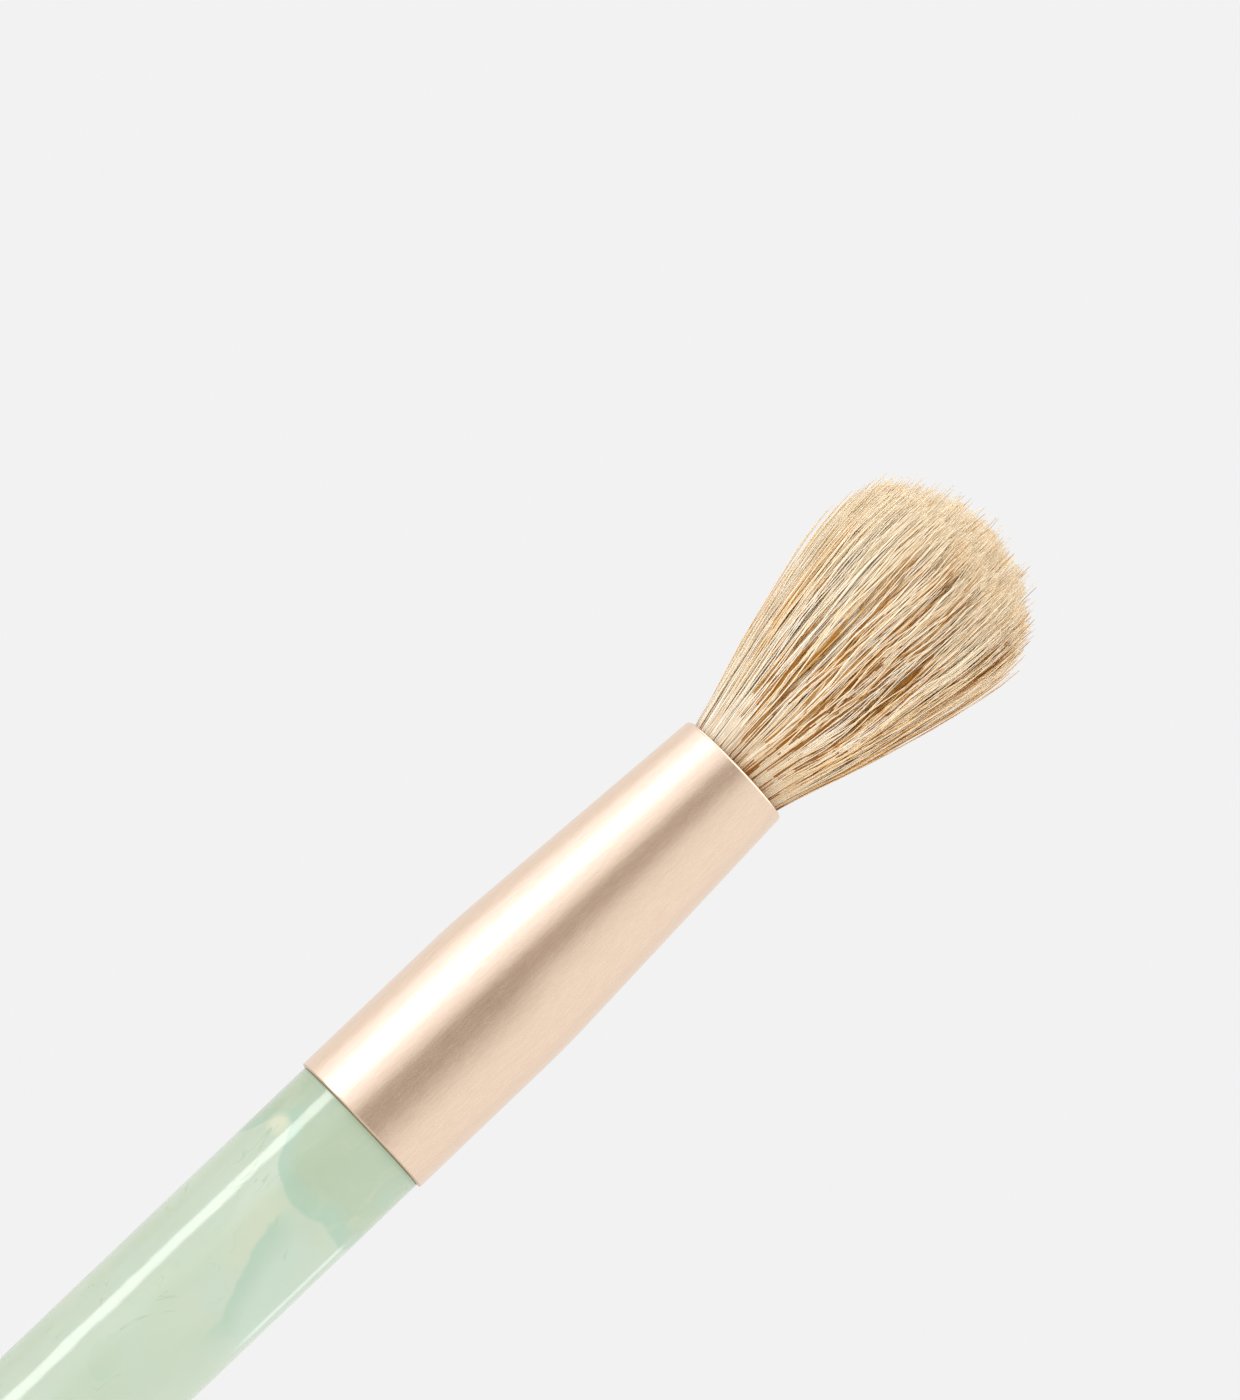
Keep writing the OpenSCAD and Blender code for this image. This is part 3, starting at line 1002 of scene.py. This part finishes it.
# Tints run from 0, dark brown, to 1, near white, as a mean and its spread or as two limits.
# Places run from 0 in the middle to 1 on the outside, and "grow" goes to growHairs as it is.
# The inside is painted warmer and darker: painted shade that shows as brown between the outer
# hairs. It turns paler upwards, partly the hairs' own paler tips and partly painted light on the
# dome.
innerHair = {
    "count": 4700,
    "reach": 0.84,
    "tint": (0.46, 0.13),
    "paler": 0.38,
    "palerOver": (0.4, 0.8),
    "grow": {"steps": 8, "wave": 0.1, "thick": 1.1, "pull": 0.3, "shorten": 0.12, "fly": 0.25},
}


def palerUpwards(s):
    return s["paler"] * smoothStep(np.linspace(0, 1, s["grow"]["steps"]), *s["palerOver"])


def makeInnerHair():
    s = innerHair
    place = s["reach"] * np.sqrt(rng.random(s["count"]))
    angle = anyTurn(s["count"])
    tint = rng.normal(*s["tint"], s["count"])[:, None] + palerUpwards(s)
    return growHairs("tuft_inner_hair", place, angle, tint, **s["grow"])


# the outside is what shows, so it is the densest, in two halves
outerHair = {
    "count": 6400,
    "outermost": 0.935,
    "layer": 0.15,
    "crowding": 0.6,
    "tint": (0.71, 0.1),
    "paintedShadeInside": 1.5,
    "paler": 0.17,
    "palerOver": (0.35, 0.8),
    "grow": {"steps": 11, "wave": 0.09, "shorten": 0.13, "fly": 0.3},
}


def makeOuterHair(name, half):
    s = outerHair
    count = s["count"] // 2
    inwards = s["layer"] * rng.random(count) ** s["crowding"]
    angle = rng.uniform(0, math.pi, count) + math.pi * half
    # painted shade: hairs lying deeper get a darker, warmer tint, for the shade between the outer
    # hairs
    tint = rng.normal(*s["tint"], count) - s["paintedShadeInside"] * inwards
    tint = tint[:, None] + palerUpwards(s)
    return growHairs(name, s["outermost"] - inwards, angle, tint, **s["grow"])


# pale wisps cross the others, half of them in front on the right
paleWisps = {
    "count": 400,
    "layer": (0.95, 0.98),
    "gather": (math.radians(-50), 0.5),
    "drift": math.radians(6),
    "tint": (0.72, 0.92),
    "grow": {"steps": 13, "wave": 0.12, "thick": 0.8, "hold": 1.0},
}


def makePaleWisps():
    s = paleWisps
    angle = anyTurn(s["count"])
    angle[::2] = rng.normal(*s["gather"], len(angle[::2]))
    place = rng.uniform(*s["layer"], s["count"])
    drift = rng.normal(0, s["drift"], s["count"])
    tint = rng.uniform(*s["tint"], s["count"])
    return growHairs("tuft_pale_wisps", place, angle, tint, drift=drift, **s["grow"])


# a few strays stand off the outside, and a third of them off the dome
strayHair = {
    "count": 900,
    "outermost": 1.03,
    "layer": 0.2,
    "crowding": 0.7,
    "domeReach": 0.85,
    "tint": (0.18, 0.85),
    "drift": math.radians(3),
    "standOff": 0.08,
    "standOffPower": 3,
    "standOffOver": (0.2, 0.9),
    "grow": {"steps": 13, "wave": 0.2, "thick": 0.95, "pull": 0.2, "shorten": -0.035,
             "hold": 0.8},
}


def makeStrayHair():
    s = strayHair
    count = s["count"]
    angle = anyTurn(count)
    place = s["outermost"] - s["layer"] * rng.random(count) ** s["crowding"]
    place[::3] = s["domeReach"] * np.sqrt(rng.random(len(place[::3])))
    tint = rng.uniform(*s["tint"], count)
    drift = rng.normal(0, s["drift"], count)
    off = s["standOff"] * rng.random(count)[:, None] ** s["standOffPower"]
    off = off * smoothStep(np.linspace(0, 1, s["grow"]["steps"]), *s["standOffOver"])
    return growHairs("tuft_stray_hair", place, angle, tint, drift=drift, sink=-off, **s["grow"])


# a streak is some brown hairs close together that come up over nearly the same stretch; streaks
# are partly real brown hairs and partly painted shadow lines between locks
streakSetup = {
    "hairs": (2, 13),
    "spread": 0.035,
    "layer": 0.02,
    "beginPower": 1.3,
    "beginSpread": 0.05,
    "lengthShare": (0.4, 1.2),
    "riseBefore": 0.07,
    "riseAfter": 0.05,
    "under": (0.56, 0.1),
    "drift": math.radians(3),
    "waves": (0.8, 2.0),
    "bend": (0.06, 0.24),
    "sink": 0.2,
    "grow": {"steps": 15, "wave": 0.07, "thick": 0.95, "pull": 0.3, "hold": 1.0},
}
brownHairAndShade = {
    "count": 235,
    "triesEach": 3,
    "fewest": 0.03,
    "combedEdge": (-0.5, 0.3),
    "thinnerRight": 0.75,
    "thinnerPower": 8,
    "place": 0.95,
    "tint": (0.04, 0.28),
    "begin": (0.08, 0.85),
    "length": (0.2, 0.5),
}
shadowGapStreaks = {
    "count": 70,
    "gather": (math.radians(-64), 0.6),
    "place": 0.955,
    "tint": (0.0, 0.1),
    "begin": (0.15, 0.5),
    "length": (0.15, 0.45),
}


def makeStreaks(name, angles, streak):
    s = streakSetup
    along = np.linspace(0, 1, s["grow"]["steps"])
    groups = len(angles)
    group = np.repeat(np.arange(groups), rng.integers(*s["hairs"], groups))
    count = len(group)
    angle = angles[group] + rng.normal(0, s["spread"], count)
    place = streak["place"] + rng.uniform(0, s["layer"], count)
    first, last = streak["begin"]
    begin = first + (last - first) * rng.random(groups) ** s["beginPower"]
    begin = (begin[group] + rng.normal(0, s["beginSpread"], count))[:, None]
    length = rng.uniform(*streak["length"], groups)[group]
    end = begin + (length * rng.uniform(*s["lengthShare"], count))[:, None]
    before, after = s["riseBefore"], s["riseAfter"]
    above = smoothStep(along[None], begin - before, begin + after)
    above = above * (1 - smoothStep(along[None], end - after, end + before))
    under = rng.normal(*s["under"], count)[:, None]
    tint = under + (rng.uniform(*streak["tint"], count)[:, None] - under) * above
    drift = rng.normal(0, s["drift"], groups)[group]
    turns = rng.uniform(*s["waves"], groups)[group][:, None] * along
    turns = turns + rng.random(groups)[group][:, None]
    bend = rng.uniform(*s["bend"], groups)[group][:, None] * np.sin(2 * math.pi * turns)
    sink = s["sink"] * (1 - above)
    return growHairs(name, place, angle, tint, drift=drift, bend=bend, sink=sink, **s["grow"])


def makeBrownHairAndShade():
    # most of them away from the combed left side, where the light falls, so that they also stand
    # as painted shadow lines between the locks
    s = brownHairAndShade
    angles = anyTurn(s["count"] * s["triesEach"])
    likely = s["fewest"] + (1 - s["fewest"]) * smoothStep(np.cos(angles), *s["combedEdge"])
    likely = likely * (1 - s["thinnerRight"] * np.cos(angles) ** s["thinnerPower"])
    angles = angles[rng.random(len(angles)) < likely][:s["count"]]
    return makeStreaks("tuft_brown_hair_and_shade", angles, s)


def makeShadowGapStreaks():
    # painted shadow: dark hairs low in front, a little to the right, for the shaded gaps between
    # locks near the mouth
    centre, spreadOut = shadowGapStreaks["gather"]
    angles = centre + rng.normal(0, spreadOut, shadowGapStreaks["count"])
    return makeStreaks("tuft_shadow_gap_streaks", angles, shadowGapStreaks)


hair = naturalHair()
tuft = [
    makeInnerHair(),
    makeOuterHair("tuft_outer_hair_back", 0),
    makeOuterHair("tuft_outer_hair_front", 1),
    makePaleWisps(),
    makeStrayHair(),
    makeBrownHairAndShade(),
    makeShadowGapStreaks(),
]
for piece in tuft:
    finishPiece(piece, hair, "natural_hair", "bristle_tuft")
print("tuft made,", sum(len(p.data.polygons) for p in tuft), "faces")

# hidden inside: glue and thread keep their CAD shape
glueSetup = {
    "amber": (0.6, 0.42, 0.17),
    "paleAmber": (0.8, 0.66, 0.38),
    "foam": (0.9, 0.82, 0.6),
    "swirlField": (1, 0.8, 3, 0.5, 1.0),
    "swirlEdge": (0.35, 0.65),
    "bubbleScale": 2.2,
    "bubbleEdge": (0.16, 0.1),
    "bubbleShare": 0.5,
    "roughness": 0.2,
    "swirlDull": 0.2,
    "bubbleStrength": 0.3,
    "bubbleDepth": 0.05 * mm,
}


def curedGlue():
    s = glueSetup
    material, tree, shader = newMaterial("cured_glue")
    swirl = field(tree, s["swirlField"])
    colour = mixColour(tree, ease(tree, swirl, *s["swirlEdge"]), s["amber"], s["paleAmber"])
    inputs = {"Vector": placeInMm(tree), "Scale": s["bubbleScale"]}
    bubbles = addNode(tree, "ShaderNodeTexVoronoi", inputs).outputs["Distance"]
    bubble = ease(tree, bubbles, *s["bubbleEdge"])
    colour = blend(tree, bubble, s["bubbleShare"], colour, s["foam"])
    dull = plus(tree, times(tree, swirl, s["swirlDull"]), s["roughness"])
    dress(tree, shader, colour, dull, bubble, s["bubbleStrength"], s["bubbleDepth"])
    return material


threadSetup = {
    "offWhite": (0.92, 0.9, 0.84),
    "between": (0.7, 0.65, 0.56),
    "fibreShade": (0.6, 0.54, 0.44),
    "turnScale": 1.6,
    "turnWarp": 0.6,
    "turnDetail": 1.0,
    "fibreField": (4, 9, 2),
    "fibreEdge": (0.6, 0.4),
    "fibreShare": 0.2,
    "roughness": 0.6,
    "fibreDull": 0.2,
    "turnStrength": 0.6,
    "turnDepth": 0.08 * mm,
}


def tieThread():
    s = threadSetup
    material, tree, shader = newMaterial("tie_thread")
    inputs = {"Vector": placeInMm(tree), "Scale": s["turnScale"]}
    inputs |= {"Distortion": s["turnWarp"], "Detail": s["turnDetail"]}
    turns = addNode(tree, "ShaderNodeTexWave", inputs, bands_direction="Z").outputs["Fac"]
    fibre = field(tree, s["fibreField"])
    colour = mixColour(tree, turns, s["between"], s["offWhite"])
    fibreShade = ease(tree, fibre, *s["fibreEdge"])
    colour = blend(tree, fibreShade, s["fibreShare"], colour, s["fibreShade"])
    dull = plus(tree, times(tree, fibre, s["fibreDull"]), s["roughness"])
    dress(tree, shader, colour, dull, turns, s["turnStrength"], s["turnDepth"])
    return material


glue = curedGlue()
for name, material in (("tenon_glue", glue), ("root_plug", glue), ("root_tie", tieThread())):
    nodes[name].data.materials.clear()
    nodes[name].data.materials.append(material)
print("inner pieces dressed")
